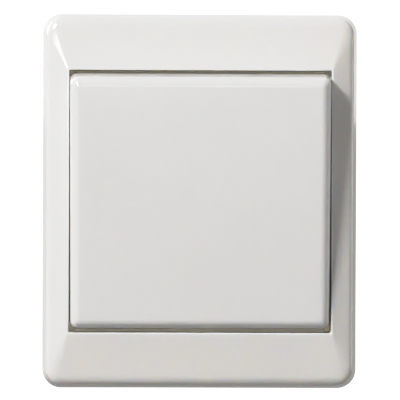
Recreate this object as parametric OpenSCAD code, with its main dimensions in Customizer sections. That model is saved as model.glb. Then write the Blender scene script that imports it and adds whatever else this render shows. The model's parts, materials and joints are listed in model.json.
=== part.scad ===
// Flush-mounted rocker wall switch: cover frame, rocker, steel strap and two-way switching insert.
// Millimetres. The wall face is the plane y = 0, the front points to -Y and up is +Z.
// Origin: centre of the mounting strap's back face, midway between the two box-screw slots.
// Every shape is drawn lying on its back (x right, y up, z out of the wall) and stood up at the end.

/* [Cover frame] */
// Width of the cover frame
frame_w = 84; // [83:1:86]
// Height of the cover frame
frame_h = 100; // [96:1:104]
// Side of the square opening
opening = 69.6; // [69.2:0.2:71]
// Height of the opening's lip above the wall
lip_z = 9; // [8.5:0.5:9.5]
// Corner radius of the frame's outline
frame_corner_r = 5; // [4.5:0.5:6]
// Thickness of the moulded frame
frame_wall = 2; // [1.5:0.25:2]

/* [Rocker] */
// Gap beside the rocker's rim
side_gap = 0.2; // [0.2:0.05:0.5]
// Gap above and below the rocker's rim, when it is level
end_gap = 0.9; // [0.9:0.1:1.3]
// How far the level rocker face stands in front of the lip
rocker_proud = 4.5; // [4:0.5:4.5]
// Tilt of the rocker to each side of level, degrees
rocker_tilt = 5; // [4:0.5:5]
// Height of the rocker's pivot above the wall
pivot_z = 7; // [7:0.1:7.2]

/* [Mounting] */
// Side of the steel strap
strap_side = 71; // [70:0.5:72]
// Distance between the box-screw slots
screw_pitch = 60; // [59:0.5:61]
// Width of a box-screw slot
slot_w = 4.2; // [4:0.1:4.6]
// End-to-end length of a box-screw slot
slot_len = 7; // [6:0.5:7.5]

/* [Switching insert] */
// Side of the base housing behind the wall face
base_side = 42; // [41:0.5:44]
// Depth of the base housing behind the wall face
base_depth = 24; // [24:1:28]
// Tilt of the contact lever to each side of level, degrees
lever_tilt = 6; // [5:0.5:6]
// Radius of a wire-entry hole
wire_r = 1.5; // [1.3:0.1:1.6]

/* [Hidden] */
$fn = 48;
tiny = 0.01; // overlap of a cut past a face
free = 0.05; // radial clearance of a running fit

// Cover frame
frame_draft = 15;
shoulder_r = 3;
collar_wall = 1.5;
collar_foot_z = 1.15;
latch_w = 18;
latch_z = [1.95, 3.35];
rib_pitch = 22;
rib_t = 1.2;
rib_foot_z = 2;

// Rocker
face_z = lip_z + rocker_proud;
rim_w = opening - 2 * side_gap;
rim_h = opening - 2 * end_gap;
cap_wall = 2;
cap_draft = 4.5;
cap_round = 2.6;
cap_corner_r = 1.9;
cap_rim_z = 5.2;
cap_inside_z = face_z - cap_wall;
cap_rib = [1.2, 1.2]; // thickness and height
cap_rib_x = 29;
cap_rib_len = 56;
snap_leg = [1.5, 8]; // thickness and width
snap_hook = [1.2, 0.9]; // reach and height

// Rocker cradle and its pin
cradle = [48, 40, 1.8];
cradle_z = cap_inside_z - cradle[2];
cradle_rib_x = 10.6;
cradle_window = [6, 9];
cradle_window_xy = [19, 11];
pin_r = 1.5;
lug_x = 13.5;
lug_t = 3;
lug_r = 2.3;
lug_notch = [3.8, 6.4];
hub_r = 2.4;
tube_r = 3;
tube_foot_z = -4;
spring_room_r = 2;
spring_seat_z = 4.4;

// Plunger and its spring
plunger_r = spring_room_r - free;
nose_r = 1.2;
plunger_top_z = -0.2;
shoulder_z = -5.5;
nose_z = -9;
plunger_stroke = 0.4;

// Contact lever
lever_t = 0.8;
lever_w = 5;
lever_reach = 9.5;
lever_bend = lever_tilt + 0.4 * rocker_tilt;
nose_gap = 0.08;
lever_z = nose_z - lever_t / 2 - nose_gap;
trunnion_r = 0.6;
contact_y = 8;
contact_r = 1.5;
contact_t = 0.8;
contact_gap = 0.05;

// Strap, front plate and screws
strap_t = 1;
strap_corner_r = 2;
strap_window = [24, 28];
wall_screw_xy = 28;
wall_screw_r = 1.75;
claw_slot = [6, 2.4];
claw_slot_xy = [28, 14];
tongue_w = 17;
tongue_t = 1;
rail_w = 66; // ivory rail that carries the tongue, seen at the bottom of the gap
rail_top_z = 4.8;
tongue_pin_xy = [5.5, 31];
tongue_pin_r = 1.2;
plate_window = [11, 14];
pad = [15.8, 2.8];
pad_y = 18;
pad_top_z = cradle_z - 1.8;
plate_side = 46;
plate_z = [strap_t, 4];
plate_corner_r = 5;
screw_xy = 17.5;
screw_r = 1.2;
screw_head = [2.4, 1.5];
screw_drive = [3, 0.6, 0.8]; // length, width and depth of one slot of the cross
screw_depth = 9;

// Terminals and clamps
metal_t = 0.8;
floor_t = 3;
base_wall = 1.6;
contact_seat_z = -11.1;
common_seat_z = -12.6;
clamp_x = 14;
clamp_foot_z = -20.6;
spring_wall_x = 5.2;
wire_x = clamp_x - metal_t - wire_r - 0.1;
side_wires_y = [5.5, 10.5];
common_wires_y = [-2.5, 2.5];
release_x = 8;
release_size = [1.8, 5];
release_proud = 1.6;
release_top_z = -17.4;

// ---------- helpers ----------

// A shape drawn on its back, stood up against the wall.
module stand() {
    rotate([90, 0, 0]) children();
}

// A shape turned about the rocker's pivot into the rest pose: top edge out, bottom edge pressed in.
module rocked() {
    translate([0, 0, pivot_z]) rotate([rocker_tilt, 0, 0]) translate([0, 0, -pivot_z]) children();
}

// A shape turned about the contact lever's trunnions into the rest pose.
module levered() {
    translate([0, 0, lever_z]) rotate([-lever_tilt, 0, 0]) children();
}

// A box centred on x and y that runs from low to high in z.
module slab(size, low, high) {
    translate([-size[0] / 2, -size[1] / 2, low]) cube([size[0], size[1], high - low]);
}

// A slab with round corners.
module round_slab(size, r, low, high) {
    slab([size[0] - 2 * r, size[1]], low, high);
    slab([size[0], size[1] - 2 * r], low, high);
    for (x = [-1, 1], y = [-1, 1])
        translate([x * (size[0] / 2 - r), y * (size[1] / 2 - r), low]) cylinder(r = r, h = high - low);
}

// A slot along x with round ends.
module slot(length, width, low, high) {
    slab([length - width, width], low, high);
    for (x = [-1, 1])
        translate([x * (length - width) / 2, 0, low]) cylinder(d = width, h = high - low);
}

// A cylinder along x, centred on x = 0.
module rod(r, length) {
    translate([-length / 2, 0, 0]) rotate([0, 90, 0]) cylinder(r = r, h = length);
}

// Children repeated at the four corners of a rectangle.
module corners(x, y) {
    for (sx = [-1, 1], sy = [-1, 1]) translate([sx * x, sy * y, 0]) children();
}

// Points of an arc about c from angle a to angle b.
function arc(c, r, a, b, n) =
    [for (i = [0:n]) c + r * [cos(a + (b - a) * i / n), sin(a + (b - a) * i / n)]];

// ---------- cover frame ----------

// One corner of the frame: a drafted wall turned about its axis, with a round shoulder on top.
module frame_post(r, top_z, round_r) {
    arc_z = top_z - round_r;
    arc_x = r - arc_z * tan(frame_draft) - round_r / cos(frame_draft);
    rotate_extrude()
        polygon(concat([[0, 0], [r, 0]], arc([arc_x, arc_z], round_r, frame_draft, 90, 6), [[0, top_z]]));
}

// The frame's outer skin, or with an inset the hollow under it.
module frame_skin(inset) {
    top_z = lip_z - inset;
    post_top_z = lip_z - 1.75 - inset;
    post_r = frame_corner_r - inset;
    hull() {
        corners(frame_w / 2 - frame_corner_r, frame_h / 2 - frame_corner_r)
            frame_post(post_r, post_top_z, shoulder_r - inset);
        slab([opening + inset, opening + inset], 0, top_z);
    }
}

module cover_frame() {
    collar = opening + 2 * collar_wall;
    color([0.88, 0.87, 0.84]) stand() difference() {
        frame_skin(0);
        difference() {
            translate([0, 0, -tiny]) frame_skin(frame_wall);
            slab([collar, collar], collar_foot_z, lip_z);
            for (x = [-rib_pitch, rib_pitch]) translate([x, 0, 0]) slab([rib_t, frame_h], rib_foot_z, lip_z);
            for (y = [-rib_pitch, rib_pitch]) translate([0, y, 0]) slab([frame_w, rib_t], rib_foot_z, lip_z);
        }
        slab([opening, opening], -1, lip_z + 1);
        slab([latch_w, frame_h - 20], latch_z[0], latch_z[1]);
    }
}

// ---------- rocker ----------

// The rocker's outer skin down to low, or with an inset the hollow under it: drafted walls
// between a small corner radius at the foot and a round edge at the face.
module cap_skin(inset, low) {
    edge_r = cap_round - inset / 2;
    foot_r = cap_corner_r - inset / 2;
    edge_z = face_z - inset - edge_r;
    half = [rim_w / 2 - inset, rim_h / 2 - inset];
    edge_in = (edge_z - cap_rim_z) * tan(cap_draft) + edge_r / cos(cap_draft);
    foot_in = (low - cap_rim_z) * tan(cap_draft) + foot_r;
    hull() {
        corners(half[0] - edge_in, half[1] - edge_in)
            rotate_extrude() polygon(concat([[0, edge_z]], arc([0, edge_z], edge_r, cap_draft, 90, 6)));
        corners(half[0] - foot_in, half[1] - foot_in) translate([0, 0, low]) cylinder(r = foot_r, h = tiny);
    }
}

// Snap legs that grip the cradle's left and right edges.
module cap_snaps() {
    leg_x = cradle[0] / 2 + 2 * free;
    foot_z = cradle_z - 2 * free - snap_hook[1];
    for (side = [-1, 1]) scale([side, 1, 1]) translate([leg_x, -snap_leg[1] / 2, foot_z]) {
        cube([snap_leg[0], snap_leg[1], cap_inside_z - foot_z + tiny]);
        translate([-snap_hook[0], 0, 0]) cube([snap_hook[0] + tiny, snap_leg[1], snap_hook[1]]);
    }
}

// Low ribs that stiffen the face and locate the cradle.
module cap_ribs() {
    low = cap_inside_z - cap_rib[1];
    guide_y = (cradle[1] + cap_rib[0]) / 2 + 2 * free;
    for (x = [-cap_rib_x, cap_rib_x]) translate([x, 0, 0])
        slab([cap_rib[0], cap_rib_len], low, cap_inside_z + tiny);
    for (y = [-guide_y, guide_y]) translate([0, y, 0])
        slab([cradle[0] / 4, cap_rib[0]], low, cap_inside_z + tiny);
}

module rocker_cap() {
    color([0.86, 0.85, 0.83]) stand() rocked() {
        difference() {
            cap_skin(0, cap_rim_z);
            cap_skin(cap_wall, cap_rim_z - 1);
        }
        cap_snaps();
        cap_ribs();
    }
}

module rocker_cradle() {
    hub_len = 2 * (lug_x - 0.2);
    color([0.78, 0.76, 0.7]) stand() rocked() difference() {
        union() {
            slab([cradle[0], cradle[1]], cradle_z, cap_inside_z);
            translate([0, 0, pivot_z]) rod(hub_r, hub_len);
            slab([hub_len, 2 * hub_r], pivot_z, cradle_z + tiny);
            translate([0, 0, tube_foot_z]) cylinder(r = tube_r, h = pivot_z - tube_foot_z);
            for (x = [-cradle_rib_x, cradle_rib_x]) translate([x, 0, 0])
                slab([cap_rib[0], cradle[1] - 4], cradle_z - cap_rib[1], cradle_z + tiny);
        }
        for (x = [-1, 1]) translate([x * (lug_x + lug_t / 2), 0, 0])
            slab([lug_notch[0], lug_notch[1]], 0, face_z);
        translate([0, 0, pivot_z]) rod(pin_r + free, 2 * cradle[0]);
        translate([0, 0, tube_foot_z - 1]) cylinder(r = spring_room_r, h = spring_seat_z - tube_foot_z + 1);
        corners(cradle_window_xy[0], cradle_window_xy[1]) round_slab(cradle_window, 1.5, 0, face_z);
    }
}

module pivot_pin() {
    color([0.7, 0.7, 0.7]) stand() translate([0, 0, pivot_z]) rod(pin_r, 2 * (lug_x + lug_t));
}

// ---------- plunger and spring ----------

module plunger() {
    color([0.9, 0.88, 0.8]) stand() rocked() rotate_extrude()
        polygon(concat([[0, plunger_top_z], [0, nose_z]],
                       arc([0, nose_z + nose_r], nose_r, -90, 0, 12),
                       [[nose_r, shoulder_z - 0.6], [plunger_r, shoulder_z], [plunger_r, plunger_top_z]]));
}

// Points of one ring of the coil wire at turn angle a.
function wire_ring(a, mean_r, wire, z, sides) =
    [for (j = [0:sides - 1])
        let (r = mean_r + wire * cos(360 * j / sides))
        [r * cos(a), r * sin(a), z + wire * sin(360 * j / sides)]];

// A round wire wound into a coil with flat-lying end turns.
module coil(mean_r, wire, low, high, turns) {
    steps = 24;
    sides = 8;
    count = turns * steps;
    pitch_z = function(t) low + wire + (high - low - 2 * wire) * (3 * t * t - 2 * t * t * t);
    points = [for (i = [0:count])
        each wire_ring(360 * i / steps, mean_r, wire, pitch_z(i / count), sides)];
    walls = [for (i = [0:count - 1], j = [0:sides - 1])
        [i * sides + j, i * sides + (j + 1) % sides,
         (i + 1) * sides + (j + 1) % sides, (i + 1) * sides + j]];
    first = [for (j = [0:sides - 1]) sides - 1 - j];
    last = [for (j = [0:sides - 1]) count * sides + j];
    polyhedron(points, concat(walls, [first, last]), convexity = 10);
}

module plunger_spring() {
    color([0.6, 0.6, 0.62]) stand() rocked()
        coil(1.45, 0.25, plunger_top_z + plunger_stroke + free, spring_seat_z, 5);
}

// ---------- strap, front plate and fastenings ----------

module mounting_strap() {
    color([0.74, 0.75, 0.76]) stand() difference() {
        round_slab([strap_side, strap_side], strap_corner_r, 0, strap_t);
        round_slab(strap_window, 3, -1, strap_t + 1);
        for (x = [-1, 1]) translate([x * screw_pitch / 2, 0, 0]) slot(slot_len, slot_w, -1, strap_t + 1);
        corners(screw_xy, screw_xy) translate([0, 0, -1]) cylinder(r = screw_r + 0.2, h = strap_t + 2);
        corners(wall_screw_xy, wall_screw_xy) translate([0, 0, -1])
            cylinder(r = wall_screw_r, h = strap_t + 2);
        corners(tongue_pin_xy[0], tongue_pin_xy[1]) translate([0, 0, -1])
            cylinder(r = tongue_pin_r + free, h = strap_t + 2);
        corners(claw_slot_xy[0], claw_slot_xy[1]) slab(claw_slot, -1, strap_t + 1);
    }
}

// One latching tongue: staked to the strap, its nose through the window in the frame's collar.
// Its rail closes the gap between the rocker and the collar from below.
module frame_clip() {
    foot_y = tongue_pin_xy[1] - 2;
    collar_y = opening / 2 - 2 * free;
    riser_y = collar_y - 0.75 * tongue_t;
    nose_y = opening / 2 + collar_wall - 3 * free - 0.15;
    nose_low = latch_z[0] + 0.25;
    nose_top = latch_z[1] - 0.25;
    translate([-tongue_w / 2, 0, 0]) {
        translate([0, foot_y, strap_t]) cube([tongue_w, collar_y - foot_y, tongue_t]);
        translate([(tongue_w - rail_w) / 2, riser_y, strap_t])
            cube([rail_w, collar_y - riser_y, rail_top_z - strap_t]);
        translate([tongue_w, 0, 0]) rotate([90, 0, -90]) linear_extrude(tongue_w)
            polygon([[-riser_y, nose_low], [-riser_y, nose_top], [0.75 - nose_y, nose_top],
                     [-nose_y, nose_low + 0.3], [-nose_y, nose_low]]);
    }
    for (x = [-1, 1]) translate([x * tongue_pin_xy[0], tongue_pin_xy[1], 0])
        cylinder(r = tongue_pin_r, h = strap_t + tongue_t / 2);
}

module frame_clips() {
    color([0.8, 0.75, 0.62]) stand() {
        frame_clip();
        rotate([0, 0, 180]) frame_clip();
    }
}

module housing_cover() {
    color([0.8, 0.78, 0.72]) stand() difference() {
        union() {
            round_slab([plate_side, plate_side], plate_corner_r, plate_z[0], plate_z[1]);
            for (x = [-1, 1]) translate([x * (lug_x + lug_t / 2), 0, 0]) {
                slab([lug_t, 2 * lug_r], plate_z[1] - 1, pivot_z);
                translate([0, 0, pivot_z]) rod(lug_r, lug_t);
            }
        }
        round_slab(plate_window, 2, 0, plate_z[1] + 1);
        translate([0, 0, pivot_z]) rod(pin_r + 0.02, plate_side);
        corners(screw_xy, screw_xy) cylinder(r = screw_r + 0.2, h = plate_z[1] + 1);
        for (y = [-pad_y, pad_y]) translate([0, y, 0])
            slab([pad[0] + 0.2, pad[1] + 0.2], plate_z[1] - 1, plate_z[1] + 1);
    }
}

module stop_pads() {
    color([0.15, 0.15, 0.15]) stand()
        for (y = [-pad_y, pad_y]) translate([0, y, 0]) slab(pad, plate_z[1] - 1, pad_top_z);
}

module housing_screw() {
    head_z = plate_z[1];
    difference() {
        union() {
            translate([0, 0, head_z - screw_depth]) cylinder(r = screw_r, h = screw_depth + tiny);
            translate([0, 0, head_z]) cylinder(r = screw_head[0], h = screw_head[1]);
        }
        for (turn = [0, 90]) rotate([0, 0, turn])
            slab(screw_drive, head_z + screw_head[1] - screw_drive[2], head_z + screw_head[1] + 1);
    }
}

module housing_screws() {
    color([0.75, 0.75, 0.72]) stand() corners(screw_xy, screw_xy) housing_screw();
}

// ---------- base housing ----------

// The wire-entry positions, as [x, y] pairs.
wire_entries = concat([for (y = side_wires_y, s = [-1, 1]) [-wire_x, s * y]],
                      [for (y = common_wires_y) [wire_x, y]]);
// The release-button positions, as [x, y] pairs.
release_spots = [[-release_x, 8], [-release_x, -8], [release_x, 0]];

module wire_entry() {
    funnel = 0.8;
    translate([0, 0, -base_depth - 1]) cylinder(r = wire_r, h = floor_t + 2);
    translate([0, 0, -base_depth - tiny]) cylinder(r1 = wire_r + funnel, r2 = wire_r, h = funnel);
}

module base_walls() {
    wall_low = -base_depth + floor_t - tiny;
    divider_top = common_seat_z - metal_t - 0.4;
    backing_top = -14;
    backing_x = clamp_x + base_wall / 2 + 0.1;
    for (x = [-spring_wall_x, spring_wall_x]) translate([x, 0, 0])
        slab([1.2, base_side - 8], wall_low, divider_top);
    for (x = [-backing_x, backing_x]) translate([x, 0, 0])
        slab([base_wall, base_side * 2 / 3], wall_low, backing_top);
    translate([-(spring_wall_x + backing_x) / 2, 0, 0])
        slab([backing_x - spring_wall_x, base_wall], wall_low, divider_top);
}

module base_housing() {
    inner = base_side - 2 * base_wall;
    color([0.85, 0.83, 0.76]) stand() difference() {
        union() {
            difference() {
                round_slab([base_side, base_side], 6, -base_depth, 0);
                round_slab([inner, inner], 4.5, -base_depth + floor_t, 1);
            }
            base_walls();
            intersection() {
                round_slab([base_side, base_side], 6, -base_depth, 0);
                corners(screw_xy, screw_xy) translate([0, 0, -12]) cylinder(r = 3, h = 12);
            }
        }
        corners(screw_xy, screw_xy) translate([0, 0, -10]) cylinder(r = screw_r + 0.03, h = 11);
        for (spot = wire_entries) translate(spot) wire_entry();
        for (spot = release_spots) translate(spot)
            slab([release_size[0] + 0.2, release_size[1] + 0.2], -base_depth - 1, -base_depth + floor_t + 1);
    }
}

// ---------- contact lever ----------

// Outline of the bent lever strip in the (along, out) plane, level.
module lever_outline() {
    rise = lever_reach * tan(lever_bend);
    half_t = lever_t / 2 / cos(lever_bend);
    polygon([[0, -half_t], [lever_reach, rise - half_t], [lever_reach, rise + half_t], [0, half_t],
             [-lever_reach, rise + half_t], [-lever_reach, rise - half_t]]);
}

// Placed at a moving contact's centre on one arm, square to the arm.
module on_arm(side) {
    rotate([side * lever_bend, 0, 0]) translate([0, side * contact_y, 0]) children();
}

module contact_lever() {
    color([0.8, 0.6, 0.3]) stand() levered() difference() {
        union() {
            rotate([90, 0, 90]) translate([0, 0, -lever_w / 2]) linear_extrude(lever_w) lever_outline();
            for (x = [-3, 3]) translate([x, 0, 0]) rod(trunnion_r, 2);
        }
        for (side = [-1, 1]) on_arm(side) translate([0, 0, -2]) cylinder(r = 0.8, h = 4);
    }
}

module moving_contacts() {
    color([0.85, 0.85, 0.86]) stand() levered() for (side = [-1, 1]) on_arm(side) {
        translate([0, 0, -lever_t / 2 - contact_t]) cylinder(r = contact_r, h = contact_t);
        translate([0, 0, -lever_t / 2 - tiny]) cylinder(r = 0.75, h = lever_t + 2 * tiny);
        translate([0, 0, lever_t / 2]) cylinder(r = 1.2, h = 0.3);
    }
}

// ---------- terminals ----------

// Height of a fixed contact's crown, just clear of the moving contact that rests on it.
crown_z = lever_z + contact_y * sin(lever_bend - lever_tilt)
    - (lever_t / 2 + contact_t) / cos(lever_bend - lever_tilt) - contact_gap;

// A fixed contact: a rivet with a slightly domed crown.
module fixed_contact() {
    dome = 0.15;
    dome_r = (contact_r * contact_r + dome * dome) / (2 * dome);
    translate([0, 0, contact_seat_z]) intersection() {
        cylinder(r = contact_r, h = crown_z - contact_seat_z);
        translate([0, 0, crown_z - contact_seat_z - dome_r]) sphere(r = dome_r);
    }
    translate([0, 0, contact_seat_z - metal_t - 0.3]) cylinder(r = 0.75, h = metal_t + 0.3 + tiny);
}

module fixed_contacts() {
    color([0.85, 0.85, 0.86]) stand() for (y = [-1, 1]) translate([0, y * contact_y, 0]) fixed_contact();
}

// A side terminal: a strip under the fixed contact that turns down into the clamp chamber.
module side_terminal() {
    difference() {
        union() {
            translate([-clamp_x, contact_y - 2, contact_seat_z - metal_t]) cube([clamp_x + 2, 4, metal_t]);
            translate([-clamp_x, 3.5, clamp_foot_z])
                cube([metal_t, 9, contact_seat_z - clamp_foot_z]);
        }
        translate([0, contact_y, contact_seat_z - 2]) cylinder(r = 0.8, h = 4);
    }
}

module terminal_1() {
    color([0.8, 0.62, 0.3]) stand() side_terminal();
}

module terminal_2() {
    color([0.8, 0.62, 0.3]) stand() mirror([0, 1, 0]) side_terminal();
}

module common_terminal() {
    ear_x = lever_w / 2 + 0.4;
    ear_top_z = lever_z + 0.3;
    color([0.8, 0.62, 0.3]) stand() difference() {
        union() {
            translate([-ear_x - metal_t, -2.5, common_seat_z - metal_t])
                cube([ear_x + metal_t + clamp_x, 5, metal_t]);
            for (x = [-ear_x - metal_t, ear_x])
                translate([x, -1.5, common_seat_z - tiny]) cube([metal_t, 3, ear_top_z - common_seat_z]);
            translate([clamp_x - metal_t, -4.5, clamp_foot_z])
                cube([metal_t, 9, common_seat_z - clamp_foot_z]);
        }
        translate([0, 0, lever_z]) rod(trunnion_r + free, 20);
        translate([0, 0, lever_z]) slab([20, 2 * (trunnion_r + free)], 0, 2);
    }
}

// A bent leaf spring: one leg against the chamber wall, a round bend, one leg across the wire path.
module clamp_leaf() {
    leaf_t = 0.4;
    bend_r = 1.3;
    leg_foot_z = -20.5;
    bend_z = -15;
    leg_slope = 22;
    back_x = 6.2;
    bend_x = back_x + bend_r;
    outer = arc([bend_x, bend_z], bend_r, 180, leg_slope, 10);
    inner = arc([bend_x, bend_z], bend_r - leaf_t, leg_slope, 180, 10);
    leg = 4.6;
    down = [sin(leg_slope), -cos(leg_slope)];
    rotate([90, 0, 0]) translate([0, 0, -3.6]) linear_extrude(7.2)
        polygon(concat([[back_x, leg_foot_z]], outer,
                       [outer[10] + leg * down, inner[0] + leg * down], inner,
                       [[back_x + leaf_t, leg_foot_z]]));
}

module clamp_spring_common() {
    color([0.7, 0.7, 0.72]) stand() clamp_leaf();
}

module clamp_spring_1() {
    color([0.7, 0.7, 0.72]) stand() translate([0, 8, 0]) mirror([1, 0, 0]) clamp_leaf();
}

module clamp_spring_2() {
    color([0.7, 0.7, 0.72]) stand() translate([0, -8, 0]) mirror([1, 0, 0]) clamp_leaf();
}

// ---------- release buttons ----------

module release_button(spot) {
    color([0.9, 0.45, 0.1]) stand() translate(spot) {
        slab(release_size, -base_depth - release_proud, release_top_z);
        slab([release_size[0] + 0.8, release_size[1]], -base_depth + floor_t + 0.05, -base_depth + floor_t + 0.7);
    }
}

// ---------- nodes ----------

cover_frame();
rocker_cap();
rocker_cradle();
pivot_pin();
plunger();
plunger_spring();
mounting_strap();
frame_clips();
housing_cover();
stop_pads();
housing_screws();
base_housing();
contact_lever();
moving_contacts();
common_terminal();
terminal_1();
terminal_2();
fixed_contacts();
clamp_spring_common();
clamp_spring_1();
clamp_spring_2();
release_button(release_spots[2]);  // release_button_common
release_button(release_spots[0]);  // release_button_1
release_button(release_spots[1]);  // release_button_2
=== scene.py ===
"""Looks of the rocker wall switch: fine shells for the cover frame and the rocker, bevels for the
insert behind them, procedural materials, a white studio and a straight-on camera."""

import json
import math

import bmesh
import bpy
from mathutils import Matrix, Vector


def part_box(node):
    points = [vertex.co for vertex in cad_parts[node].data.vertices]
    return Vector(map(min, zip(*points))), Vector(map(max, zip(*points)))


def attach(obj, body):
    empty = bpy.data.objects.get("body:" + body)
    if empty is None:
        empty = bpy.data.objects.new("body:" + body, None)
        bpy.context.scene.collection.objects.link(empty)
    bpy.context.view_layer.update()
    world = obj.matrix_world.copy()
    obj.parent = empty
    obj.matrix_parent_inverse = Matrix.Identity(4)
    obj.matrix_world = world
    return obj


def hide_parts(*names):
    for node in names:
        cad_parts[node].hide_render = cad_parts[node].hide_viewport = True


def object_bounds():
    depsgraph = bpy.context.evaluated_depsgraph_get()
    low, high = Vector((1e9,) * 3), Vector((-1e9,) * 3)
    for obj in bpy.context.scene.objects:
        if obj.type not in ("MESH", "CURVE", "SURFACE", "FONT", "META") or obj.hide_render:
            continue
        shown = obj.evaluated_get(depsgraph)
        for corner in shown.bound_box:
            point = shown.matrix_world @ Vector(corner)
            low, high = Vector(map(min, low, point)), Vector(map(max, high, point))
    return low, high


MM = 0.001
MICRON = 0.000001

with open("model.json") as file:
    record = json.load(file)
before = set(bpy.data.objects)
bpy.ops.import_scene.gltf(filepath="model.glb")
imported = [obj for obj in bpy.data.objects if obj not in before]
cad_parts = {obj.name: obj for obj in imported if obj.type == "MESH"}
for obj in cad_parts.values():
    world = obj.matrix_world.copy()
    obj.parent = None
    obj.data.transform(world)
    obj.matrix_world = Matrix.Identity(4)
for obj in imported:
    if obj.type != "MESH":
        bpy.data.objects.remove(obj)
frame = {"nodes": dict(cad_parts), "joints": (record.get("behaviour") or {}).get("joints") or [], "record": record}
cad_low, cad_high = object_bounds()

# Main sizes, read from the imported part, in millimetres. Depths are measured out of the wall.
frame_low, frame_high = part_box("cover_frame")
rocker_joint = next(joint for joint in frame["joints"] if joint["name"] == "rocker_tilt")
HALF_W = frame_high.x / MM
HALF_H = frame_high.z / MM
LIP_Z = -frame_low.y / MM
PIVOT_Z = -rocker_joint["pos_m"][1] / MM
# The rocker rests tilted by half its travel, top edge out.
TILT = math.radians(rocker_joint["range_deg"][1] / 2)


# ---------- shells made of rounded rings ----------

def ring(half_w, half_h, corner, depth):
    """Points of a rounded rectangle at one depth, anticlockwise, as (x, up, out) in millimetres.
    The corner is a radius, or the width and height of an elliptical corner."""
    corner_steps = 12
    side_steps = 8
    round_w, round_h = corner if isinstance(corner, tuple) else (corner, corner)
    points = []
    for quarter in range(4):
        sx = 1 if quarter in (0, 3) else -1
        sy = 1 if quarter in (0, 1) else -1
        centre = Vector((sx * (half_w - round_w), sy * (half_h - round_h)))
        for i in range(corner_steps + 1):
            angle = math.pi / 2 * (quarter + i / corner_steps)
            points.append(centre + Vector((round_w * math.cos(angle), round_h * math.sin(angle))))
        last = points[-1]
        along_x = quarter % 2 == 0
        across = Vector((-2 * last.x, 0)) if along_x else Vector((0, -2 * last.y))
        for i in range(1, side_steps):
            points.append(last + across * i / side_steps)
    return [Vector((p.x, p.y, depth)) for p in points]


def between(a, b, t):
    """Tuples or numbers blended from a at t = 0 to b at t = 1."""
    if isinstance(a, tuple):
        return tuple(between(low, high, t) for low, high in zip(a, b))
    return a + (b - a) * t


def stood_up(point):
    """A point drawn lying on its back, in millimetres, moved to the row frame in metres."""
    return Vector((point.x, -point.z, point.y)) * MM


def rocked(point):
    """A point of the level rocker turned into the rest pose, top edge out."""
    pivot = Vector((0, 0, PIVOT_Z))
    return Matrix.Rotation(TILT, 3, "X") @ (point - pivot) + pivot


def loft(bm, rings, place, closed):
    """Faces between neighbouring rings; a closed loft also joins the last ring to the first."""
    rows = [[bm.verts.new(place(p)) for p in points] for points in rings]
    pairs = list(zip(rows, rows[1:]))
    if closed:
        pairs.append((rows[-1], rows[0]))
    count = len(rows[0])
    for low, high in pairs:
        for i in range(count):
            j = (i + 1) % count
            bm.faces.new((low[i], low[j], high[j], high[i]))
    return rows


def add_box(bm, low, high):
    """A plain box between two corners, drawn lying on its back, in millimetres."""
    made = bmesh.ops.create_cube(bm, size=1.0)["verts"]
    centre = (Vector(low) + Vector(high)) / 2
    size = Vector(high) - Vector(low)
    for v in made:
        v.co = stood_up(Vector((v.co.x * size.x, v.co.y * size.y, v.co.z * size.z)) + centre)


def finish_mesh(bm, name, body, node):
    """Turns bm into a smooth shaded piece that stands for a CAD node and rides on its body."""
    bmesh.ops.recalc_face_normals(bm, faces=bm.faces)
    for face in bm.faces:
        face.smooth = True
    mesh = bpy.data.meshes.new(name)
    bm.to_mesh(mesh)
    bm.free()
    mesh.set_sharp_from_angle(angle=math.radians(50))
    piece = bpy.data.objects.new(name, mesh)
    bpy.context.scene.collection.objects.link(piece)
    weighted = piece.modifiers.new("even_shading", "WEIGHTED_NORMAL")
    weighted.keep_sharp = True
    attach(piece, body)
    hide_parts(node)
    return piece


# ---------- cover frame ----------

OPENING = 34.8  # half of the square opening
OPENING_CORNER = 0.4
LIP_R = 0.45
LIP_SWEEP = math.radians(76)
# Where the sloping faces and the round shoulder end: half width, half height, depth
SLOPE_END = (39.6, 46.0, 7.15)
SHOULDER_END = (40.9, 48.9, 5.6)
# Corners of the outline: width and height of the elliptical round
SLOPE_START_CORNER = (0.5, 0.5)
SLOPE_END_CORNER = (2.1, 5.0)
SHOULDER_CORNER = (4.3, 4.5)
# Slopes of the left and right faces, of the top and bottom faces, and of the outer wall
SIDE_SLOPE = math.radians(26)
END_SLOPE = math.radians(9.3)
WALL_SLOPE = math.radians(75)
FOOT_CORNER = 5.0
FOOT_ROUND = 0.3
COLLAR_WALL = 1.5
COLLAR_CORNER = 0.6
COLLAR_CEILING = 6.6
COLLAR_FOOT = 1.15
COLLAR_CHAMFER = 0.15


def opening_rings():
    """The wall of the opening, from the collar's foot up to the lip's round."""
    return [ring(OPENING, OPENING, OPENING_CORNER, COLLAR_FOOT + COLLAR_CHAMFER),
            ring(OPENING, OPENING, OPENING_CORNER, LIP_Z - LIP_R - 1.0)]


def lip_point(angle):
    """How far the lip's round has gone out from the opening, and its depth, at an angle."""
    return OPENING + LIP_R * (1 - math.cos(angle)), LIP_Z - LIP_R + LIP_R * math.sin(angle)


def lip_rings():
    """The small round at the lip of the opening."""
    steps = 6
    rings = []
    for i in range(steps + 1):
        half, depth = lip_point(LIP_SWEEP * i / steps)
        rings.append(ring(half, half, between(OPENING_CORNER, SLOPE_START_CORNER[0], i / steps), depth))
    return rings


def slope_rings():
    """The four sloping faces; their mitres soften outwards as the corners grow."""
    steps = 12
    half, depth = lip_point(LIP_SWEEP)
    rings = []
    for i in range(1, steps + 1):
        half_w, half_h, out = between((half, half, depth), SLOPE_END, i / steps)
        rings.append(ring(half_w, half_h, between(SLOPE_START_CORNER, SLOPE_END_CORNER, i / steps), out))
    return rings


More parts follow.
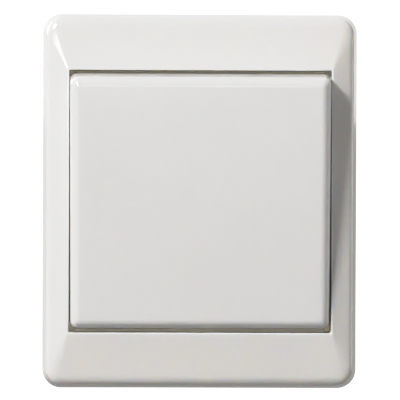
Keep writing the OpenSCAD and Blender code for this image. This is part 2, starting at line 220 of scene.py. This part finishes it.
def shoulder_rings():
    """The round shoulder between the sloping faces and the outer wall. The side and end faces
    start at different slopes, and are turned at such rates that each ring stays level."""
    steps = 10
    rings = []
    for i in range(1, steps + 1):
        side = SIDE_SLOPE + (WALL_SLOPE - SIDE_SLOPE) * i / steps
        fall = (math.cos(SIDE_SLOPE) - math.cos(side)) / (math.cos(SIDE_SLOPE) - math.cos(WALL_SLOPE))
        end = math.acos(math.cos(END_SLOPE) - fall * (math.cos(END_SLOPE) - math.cos(WALL_SLOPE)))
        out_x = (math.sin(side) - math.sin(SIDE_SLOPE)) / (math.sin(WALL_SLOPE) - math.sin(SIDE_SLOPE))
        out_y = (math.sin(end) - math.sin(END_SLOPE)) / (math.sin(WALL_SLOPE) - math.sin(END_SLOPE))
        rings.append(ring(between(SLOPE_END[0], SHOULDER_END[0], out_x),
                          between(SLOPE_END[1], SHOULDER_END[1], out_y),
                          between(SLOPE_END_CORNER, SHOULDER_CORNER, out_x),
                          between(SLOPE_END[2], SHOULDER_END[2], fall)))
    return rings


def inset_ring(inset_w, inset_h, corner, depth):
    """A ring of the frame, measured inwards from its outer wall."""
    return ring(HALF_W - inset_w, HALF_H - inset_h, corner, depth)


def outer_wall_rings():
    """The drafted outer wall, down to the rounded edge of the foot that stands on the wall face."""
    return [inset_ring(0.5, 0.4, FOOT_CORNER - 0.1, 2.4),
            inset_ring(0, 0, FOOT_CORNER, FOOT_ROUND),
            inset_ring(0.05, 0.05, FOOT_CORNER, FOOT_ROUND / 3),
            inset_ring(FOOT_ROUND, FOOT_ROUND, FOOT_CORNER - 0.2, 0)]


def hollow_rings():
    """The inner edge of the foot and the hollow between the outer wall and the collar."""
    return [inset_ring(2.0, 2.0, 3.2, 0),
            inset_ring(2.9, 2.9, 3.0, 3.8),
            inset_ring(3.6, 4.4, 2.6, 5.1)]


def collar_rings():
    """The outside of the collar around the opening, from the hollow down to its chamfered foot."""
    outside = OPENING + COLLAR_WALL
    foot_outside = outside - COLLAR_CHAMFER
    foot_inside = OPENING + COLLAR_CHAMFER
    return [ring(outside, outside, COLLAR_CORNER, COLLAR_CEILING),
            ring(outside, outside, COLLAR_CORNER, COLLAR_FOOT + COLLAR_CHAMFER),
            ring(foot_outside, foot_outside, COLLAR_CORNER, COLLAR_FOOT),
            ring(foot_inside, foot_inside, OPENING_CORNER, COLLAR_FOOT)]


def add_frame_ribs(bm):
    """Thin ribs between the collar and the outer wall, two on each side."""
    half_thick = 0.6
    foot = 2.0
    side_middle = 37.9
    side_half = 1.5
    side_top = 5.6
    end_middle = 41.3
    end_half = 5.0
    end_top = 5.0
    for side in (-1, 1):
        x = side * side_middle
        y = side * end_middle
        for along in (-22.0, 22.0):
            start = along - half_thick
            stop = along + half_thick
            add_box(bm, (x - side_half, start, foot), (x + side_half, stop, side_top))
            add_box(bm, (start, y - end_half, foot), (stop, y + end_half, end_top))


def cut_latch_windows(piece):
    """Cuts the two windows in the collar that the latching tongues reach through."""
    half_w = 9.0
    half_reach = 1.2
    low_z = 1.95
    high_z = 3.35
    bm = bmesh.new()
    for side in (-1, 1):
        middle = side * (OPENING + COLLAR_WALL / 2)
        add_box(bm, (-half_w, middle - half_reach, low_z), (half_w, middle + half_reach, high_z))
    mesh = bpy.data.meshes.new("window_cutter")
    bm.to_mesh(mesh)
    bm.free()
    cutter = bpy.data.objects.new("window_cutter", mesh)
    bpy.context.scene.collection.objects.link(cutter)
    cut = piece.modifiers.new("latch_windows", "BOOLEAN")
    cut.operation = "DIFFERENCE"
    cut.solver = "EXACT"
    cut.object = cutter
    piece.modifiers.move(1, 0)
    with bpy.context.temp_override(object=piece, active_object=piece, selected_objects=[piece]):
        bpy.ops.object.modifier_apply(modifier=cut.name)
    bpy.data.objects.remove(cutter)


def make_cover_frame():
    """One closed loft: up the opening, over the lip and faces, down the outside and back inside."""
    bm = bmesh.new()
    rings = opening_rings() + lip_rings() + slope_rings() + shoulder_rings()
    rings += outer_wall_rings() + hollow_rings() + collar_rings()
    loft(bm, rings, stood_up, closed=True)
    add_frame_ribs(bm)
    piece = finish_mesh(bm, "frame_shell", "insert", "cover_frame")
    cut_latch_windows(piece)
    return piece


# ---------- rocker ----------

RIM_HALF = (34.74, 33.9)  # half width and half height at the rim
CAP_FACE = 13.5
CAP_RIM = 5.2
CAP_ROUND = 2.6
CAP_CORNER = 1.9
CAP_FACE_CORNER = 0.2
CAP_WALL = 2.0
# Draft of the top and bottom walls, and of the left and right walls
CAP_DRAFT = math.radians(4.5)
SIDE_DRAFT = math.radians(3.6)


def cap_ring(inset, corner, depth):
    """A ring of the rocker, set in from the drafted wall at that depth."""
    height = depth - CAP_RIM
    half_w = RIM_HALF[0] - height * math.tan(SIDE_DRAFT) - inset
    half_h = RIM_HALF[1] - height * math.tan(CAP_DRAFT) - inset
    return ring(half_w, half_h, corner, depth)


def cap_inside_rings():
    """From the ceiling inside, down the inner wall and round the rim."""
    ceiling = CAP_FACE - CAP_WALL
    return [cap_ring(CAP_WALL + 0.6, 0.6, ceiling),
            cap_ring(CAP_WALL, 0.8, ceiling - 0.8),
            cap_ring(CAP_WALL, 1.0, CAP_RIM + 0.1),
            cap_ring(CAP_WALL - 0.1, 1.1, CAP_RIM),
            cap_ring(0.15, CAP_CORNER - 0.15, CAP_RIM),
            cap_ring(0.03, CAP_CORNER, CAP_RIM + 0.08)]


def cap_round_rings():
    """Up the outer wall and over the round edge to the face, with corners that tighten on the way."""
    edge_z = CAP_FACE - CAP_ROUND
    edge_inset = CAP_ROUND / math.cos(CAP_DRAFT)
    steps = 14
    rings = []
    for i in range(steps + 1):
        angle = CAP_DRAFT + (math.pi / 2 - CAP_DRAFT) * i / steps
        depth = edge_z + CAP_ROUND * math.sin(angle)
        turned_in = edge_inset - CAP_ROUND * math.cos(angle) - (depth - edge_z) * math.tan(CAP_DRAFT)
        share_left = math.cos(angle) / math.cos(CAP_DRAFT)
        rings.append(cap_ring(turned_in, between(CAP_FACE_CORNER, CAP_CORNER, share_left), depth))
    return rings


def placed_rocker(point):
    """A point of the level rocker, in millimetres, moved to its rest pose in metres."""
    return stood_up(rocked(point))


def make_rocker_cap():
    """The hollow rocker: a loft closed by its ceiling inside and its face outside."""
    bm = bmesh.new()
    rows = loft(bm, cap_inside_rings() + cap_round_rings(), placed_rocker, closed=False)
    bm.faces.new(rows[0])
    bm.faces.new(rows[-1])
    return finish_mesh(bm, "rocker_shell", "rocker", "rocker_cap")


# ---------- materials ----------

class Surface:
    """A Principled material under construction, with short names for the nodes used here."""

    def __init__(self, name):
        self.material = bpy.data.materials.new(name)
        self.material.use_nodes = True
        self.tree = self.material.node_tree
        self.shader = self.tree.nodes["Principled BSDF"]
        self.place = self.node("ShaderNodeTexCoord").outputs["Object"]

    def node(self, kind, **settings):
        made = self.tree.nodes.new(kind)
        for key, value in settings.items():
            setattr(made, key, value)
        return made

    def feed(self, socket, value):
        """Joins value to a socket, or sets it if it is a plain number or colour."""
        if isinstance(value, bpy.types.NodeSocket):
            self.tree.links.new(value, socket)
        else:
            socket.default_value = value

    def stretched(self, scale):
        mapping = self.node("ShaderNodeMapping")
        self.feed(mapping.inputs["Vector"], self.place)
        mapping.inputs["Scale"].default_value = scale
        return mapping.outputs["Vector"]

    def noise(self, scale, detail, place=None):
        """Noise with scale features per metre, 0 to 1."""
        made = self.node("ShaderNodeTexNoise")
        self.feed(made.inputs["Vector"], place or self.place)
        made.inputs["Scale"].default_value = scale
        made.inputs["Detail"].default_value = detail
        return made.outputs["Fac"]

    def spread(self, value, low, high, from_low=0.3, from_high=0.7):
        """Maps the useful part of a texture to low .. high."""
        made = self.node("ShaderNodeMapRange")
        self.feed(made.inputs["Value"], value)
        made.inputs["From Min"].default_value = from_low
        made.inputs["From Max"].default_value = from_high
        made.inputs["To Min"].default_value = low
        made.inputs["To Max"].default_value = high
        return made.outputs["Result"]

    def maths(self, operation, a, b):
        made = self.node("ShaderNodeMath", operation=operation)
        self.feed(made.inputs[0], a)
        self.feed(made.inputs[1], b)
        return made.outputs["Value"]

    def mix(self, share, a, b):
        """Colour a where share is 0, b where it is 1."""
        made = self.node("ShaderNodeMix", data_type="RGBA")
        self.feed(made.inputs["Factor"], share)
        self.feed(made.inputs["A"], a)
        self.feed(made.inputs["B"], b)
        return made.outputs["Result"]

    def edges(self, radius):
        """1 on sharp edges within radius metres, 0 on flats."""
        bevel = self.node("ShaderNodeBevel", samples=4)
        bevel.inputs["Radius"].default_value = radius
        geometry = self.node("ShaderNodeNewGeometry")
        dot = self.node("ShaderNodeVectorMath", operation="DOT_PRODUCT")
        self.feed(dot.inputs[0], bevel.outputs["Normal"])
        self.feed(dot.inputs[1], geometry.outputs["Normal"])
        return self.spread(dot.outputs["Value"], 1.0, 0.0, 0.85, 0.995)

    def bump(self, height, distance, under=None):
        """A normal that follows height, distance metres deep, on top of the normal under it."""
        made = self.node("ShaderNodeBump")
        made.inputs["Strength"].default_value = 1.0
        made.inputs["Distance"].default_value = distance
        self.feed(made.inputs["Height"], height)
        if under is not None:
            self.feed(made.inputs["Normal"], under)
        return made.outputs["Normal"]


# Scales of the textures, in features per metre
CLOUDS = 45
WEAR_PATCHES = 260
GLOSS_PATCHES = 120
SKIN_GRAIN = 2600
SLOW_WAVES = 70
ROLLING_STREAKS = 900
PLATING_CLOUDS = 180
FLOOR_CLOUDS = 30


def shade(colour, factor):
    """The colour made lighter or darker, with an alpha of one."""
    return tuple(c * factor for c in colour) + (1.0,)


def moulded(name, colour, roughness, grain, wave=0.0, soft=0.0, coat=0.0):
    """Moulded plastic: cloudy tint, uneven gloss, skin texture, slow waviness and polished edges.
    grain and wave are bump depths in metres; soft and coat are shares of scattering and lacquer."""
    s = Surface(name)
    cloud = s.noise(CLOUDS, 4)
    tint = s.mix(s.spread(cloud, 0, 1), shade(colour, 0.985), shade(colour, 1.01))
    worn = s.maths("MULTIPLY", s.edges(0.4 * MM), s.spread(s.noise(WEAR_PATCHES, 5), 0.2, 1.0))
    tint = s.mix(s.maths("MULTIPLY", worn, 0.2), tint, shade(colour, 1.05))
    s.feed(s.shader.inputs["Base Color"], tint)
    gloss = s.spread(s.noise(GLOSS_PATCHES, 5), roughness - 0.03, roughness + 0.04)
    s.feed(s.shader.inputs["Roughness"], s.maths("SUBTRACT", gloss, s.maths("MULTIPLY", worn, 0.05)))
    s.shader.inputs["IOR"].default_value = 1.5
    s.shader.inputs["Coat Weight"].default_value = coat
    s.shader.inputs["Coat Roughness"].default_value = 0.03
    if soft:
        s.shader.inputs["Subsurface Weight"].default_value = soft
        s.shader.inputs["Subsurface Radius"].default_value = (1.0, 0.85, 0.65)
        s.shader.inputs["Subsurface Scale"].default_value = 1.6 * MM
    normal = s.bump(s.noise(SKIN_GRAIN, 2), grain)
    if wave:
        normal = s.bump(s.noise(SLOW_WAVES, 1), wave, normal)
    s.feed(s.shader.inputs["Normal"], normal)
    return s.material


def metal(name, colour, roughness, streak):
    """Sheet or turned metal: rolling streaks along the axes where streak is 1, cloudy plating
    and bright worn edges."""
    s = Surface(name)
    lines = s.noise(ROLLING_STREAKS, 3, s.stretched(streak))
    cloud = s.noise(PLATING_CLOUDS, 4)
    tint = s.mix(s.spread(cloud, 0, 1), shade(colour, 0.85), shade(colour, 1.0))
    worn = s.edges(0.3 * MM)
    s.feed(s.shader.inputs["Base Color"], s.mix(worn, tint, shade(colour, 1.15)))
    s.shader.inputs["Metallic"].default_value = 1.0
    dull = s.spread(cloud, roughness - 0.04, roughness + 0.08)
    s.feed(s.shader.inputs["Roughness"], s.maths("ADD", s.spread(lines, -0.06, 0.06), dull))
    s.feed(s.shader.inputs["Normal"], s.bump(lines, 8 * MICRON))
    return s.material


WHITE = (0.88, 0.867, 0.848)
GLOSSY_SKIN = {"roughness": 0.15, "grain": 0.6 * MICRON, "wave": 10 * MICRON}
MATERIALS = {
    "polar_white": moulded("polar_white", WHITE, **GLOSSY_SKIN, soft=0.8, coat=0.4),
    "rocker_white": moulded("rocker_white", WHITE, **GLOSSY_SKIN, soft=0.4),
    "ivory_moulding": moulded("ivory_moulding", (0.84, 0.77, 0.60), 0.42, 8 * MICRON),
    "grey_moulding": moulded("grey_moulding", (0.66, 0.63, 0.56), 0.5, 12 * MICRON),
    "base_moulding": moulded("base_moulding", (0.56, 0.53, 0.46), 0.48, 12 * MICRON),
    "zinc_steel": metal("zinc_steel", (0.72, 0.67, 0.54), 0.55, (1, 1, 14)),
    "spring_steel": metal("spring_steel", (0.50, 0.50, 0.52), 0.24, (1, 14, 1)),
    "brass": metal("brass", (0.80, 0.58, 0.26), 0.28, (12, 1, 1)),
    "silver_contact": metal("silver_contact", (0.88, 0.87, 0.85), 0.2, (1, 1, 1)),
    "rubber": moulded("rubber", (0.03, 0.03, 0.03), 0.75, 20 * MICRON),
    "release_orange": moulded("release_orange", (0.80, 0.24, 0.03), 0.35, 8 * MICRON),
}


def dress(piece, slot):
    """Gives a piece one of the materials."""
    piece.data.materials.clear()
    piece.data.materials.append(MATERIALS[slot])


def soften(piece, width):
    """Small bevels and even shading on a CAD part."""
    weld = piece.modifiers.new("weld", "WELD")
    weld.merge_threshold = 10 * MICRON
    bevel = piece.modifiers.new("edge_round", "BEVEL")
    bevel.width = width
    bevel.segments = 2
    bevel.limit_method = "ANGLE"
    bevel.angle_limit = math.radians(40)
    bevel.use_clamp_overlap = True
    weighted = piece.modifiers.new("even_shading", "WEIGHTED_NORMAL")
    weighted.keep_sharp = True
    for face in piece.data.polygons:
        face.use_smooth = True


# Widths of the bevels on the CAD parts, in millimetres; the smaller parts get THIN_EDGE.
EDGE_ROUNDS = {
    "base_housing": 0.3,
    "housing_cover": 0.25,
    "rocker_cradle": 0.2,
    "stop_pads": 0.2,
    "release_button_common": 0.15,
    "release_button_1": 0.15,
    "release_button_2": 0.15,
    "frame_clips": 0.12,
    "mounting_strap": 0.1,
}
THIN_EDGE = 0.06
# The first two are hidden by the finer shells, and the spring is round already.
NOT_SOFTENED = ("cover_frame", "rocker_cap", "plunger_spring")

dress(make_cover_frame(), "polar_white")
dress(make_rocker_cap(), "rocker_white")
for subpart in frame["record"]["subparts"]:
    node = subpart["node"]
    part = frame["nodes"][node]
    dress(part, subpart["material_slot"])
    if node not in NOT_SOFTENED:
        soften(part, EDGE_ROUNDS.get(node, THIN_EDGE) * MM)


# ---------- studio ----------

BACKGROUND = 2.0  # seen as pure white through the film curve


def make_floor():
    """A pale floor that blends into the white background where it is seen at a grazing angle.
    Only the camera sees it, so that the backdrop lights the underside as it lights the sides."""
    gap = 0.2 * MM
    bpy.ops.mesh.primitive_plane_add(size=3.0, location=(0, 0, cad_low.z - gap))
    floor = bpy.context.object
    floor.name = "floor"
    s = Surface("pale_floor")
    seen = s.node("ShaderNodeLightPath").outputs["Is Camera Ray"]
    pale = s.mix(s.spread(s.noise(FLOOR_CLOUDS, 4), 0, 1), (0.70, 0.70, 0.69, 1), (0.73, 0.73, 0.72, 1))
    s.feed(s.shader.inputs["Base Color"], pale)
    s.shader.inputs["Roughness"].default_value = 0.6
    glow = s.node("ShaderNodeEmission")
    glow.inputs["Strength"].default_value = BACKGROUND
    facing = s.node("ShaderNodeLayerWeight")
    away = s.spread(facing.outputs["Facing"], 0.0, 1.0, 0.82, 0.93)
    blend = s.node("ShaderNodeMixShader")
    s.feed(blend.inputs[0], away)
    s.feed(blend.inputs[1], s.shader.outputs["BSDF"])
    s.feed(blend.inputs[2], glow.outputs["Emission"])
    only_seen = s.node("ShaderNodeMixShader")
    s.feed(only_seen.inputs[0], seen)
    s.feed(only_seen.inputs[1], s.node("ShaderNodeBsdfTransparent").outputs["BSDF"])
    s.feed(only_seen.inputs[2], blend.outputs["Shader"])
    s.feed(s.tree.nodes["Material Output"].inputs["Surface"], only_seen.outputs["Shader"])
    floor.data.materials.append(s.material)


def make_world(fill, backdrop):
    """Pure white for the camera; a bright backdrop behind the object and a dim fill in front light it."""
    world = bpy.data.worlds.new("studio")
    world.use_nodes = True
    bpy.context.scene.world = world
    tree = world.node_tree
    background = tree.nodes["Background"]
    place = tree.nodes.new("ShaderNodeTexCoord")
    axes = tree.nodes.new("ShaderNodeSeparateXYZ")
    tree.links.new(place.outputs["Generated"], axes.inputs["Vector"])
    behind = tree.nodes.new("ShaderNodeMapRange")
    behind.inputs["From Min"].default_value = -0.4
    behind.inputs["From Max"].default_value = 0.5
    behind.inputs["To Min"].default_value = fill
    behind.inputs["To Max"].default_value = backdrop
    tree.links.new(axes.outputs["Y"], behind.inputs["Value"])
    seen = tree.nodes.new("ShaderNodeLightPath")
    level = tree.nodes.new("ShaderNodeMix")
    tree.links.new(seen.outputs["Is Camera Ray"], level.inputs["Factor"])
    tree.links.new(behind.outputs["Result"], level.inputs["A"])
    level.inputs["B"].default_value = BACKGROUND
    tree.links.new(level.outputs["Result"], background.inputs["Strength"])
    background.inputs["Color"].default_value = (1.0, 0.995, 0.985, 1)


def softbox(name, towards, size, level, only_gloss=False):
    """A square light, as seen from the object in the direction towards, that gives a facing white
    surface the radiance level. With only_gloss it shows in reflections and lights nothing."""
    distance = 1.6
    data = bpy.data.lights.new(name, "AREA")
    data.shape = "RECTANGLE"
    data.size = size
    data.size_y = size
    data.energy = math.pi ** 2 * level * distance ** 2
    light = bpy.data.objects.new(name, data)
    bpy.context.scene.collection.objects.link(light)
    direction = Vector(towards).normalized()
    light.location = direction * distance
    light.rotation_mode = "QUATERNION"
    light.rotation_quaternion = direction.to_track_quat("Z", "Y")
    light.visible_diffuse = not only_gloss


def make_lights():
    """A key light from the upper left, wide lights behind, and faint fills from the front and right."""
    softbox("key_light", (-0.585, -0.625, 0.54), size=0.36, level=1.105)
    softbox("rear_fill", (0.0, 1.0, 0.6), size=1.8, level=0.26)
    softbox("rear_left", (-1.0, 0.8, 0.5), size=0.8, level=0.66)
    softbox("front_fill", (0.0, -1.0, 0.0), size=0.3, level=0.10)
    # These two draw the glint along the upper left mitre.
    softbox("glint_side", (-0.54, -0.835, 0.12), size=0.12, level=0.32, only_gloss=True)
    softbox("glint_top", (-0.41, -0.89, 0.19), size=0.12, level=0.32, only_gloss=True)
    softbox("right_fill", (1.0, 0.3, 0.0), size=0.8, level=0.145)


def make_camera():
    """Almost straight on: a little from the left and above, and a little crooked."""
    seen_width = 0.1072
    distance = 0.85
    centre = Vector((0.0001, 0, 0.00036))
    from_left = math.radians(1.2)
    from_above = math.radians(0.5)
    roll = math.radians(0.21)
    back = Vector((-math.sin(from_left), -1, math.sin(from_above))).normalized()
    data = bpy.data.cameras.new("camera")
    data.sensor_width = 36
    data.lens = data.sensor_width * distance / seen_width
    camera = bpy.data.objects.new("camera", data)
    camera.location = centre + distance * back
    turned = back.to_track_quat("Z", "Y").to_matrix() @ Matrix.Rotation(roll, 3, "Z")
    camera.rotation_euler = turned.to_euler()
    bpy.context.scene.collection.objects.link(camera)
    bpy.context.scene.camera = camera


# Light and the tone it is shown as: even up to 0.66, then pressed together up to white
FILM_CURVE = ((0.35, 0.35), (0.66, 0.665), (0.78, 0.75), (0.88, 0.795), (1.0, 0.825), (1.1, 0.845))
FILM_WHITE = 1.6


def make_film():
    """A camera response with a soft shoulder: highlights stay below pure white."""
    view = bpy.context.scene.view_settings
    view.view_transform = "Standard"
    view.use_curve_mapping = True
    view.curve_mapping.extend = "EXTRAPOLATED"
    view.curve_mapping.use_clip = False
    combined = view.curve_mapping.curves[3]
    combined.points[-1].location = (FILM_WHITE, 1.0)
    for light, tone in FILM_CURVE:
        combined.points.new(light, tone)
    view.curve_mapping.update()


make_floor()
make_world(fill=0.10, backdrop=0.36)
make_lights()
make_camera()
make_film()
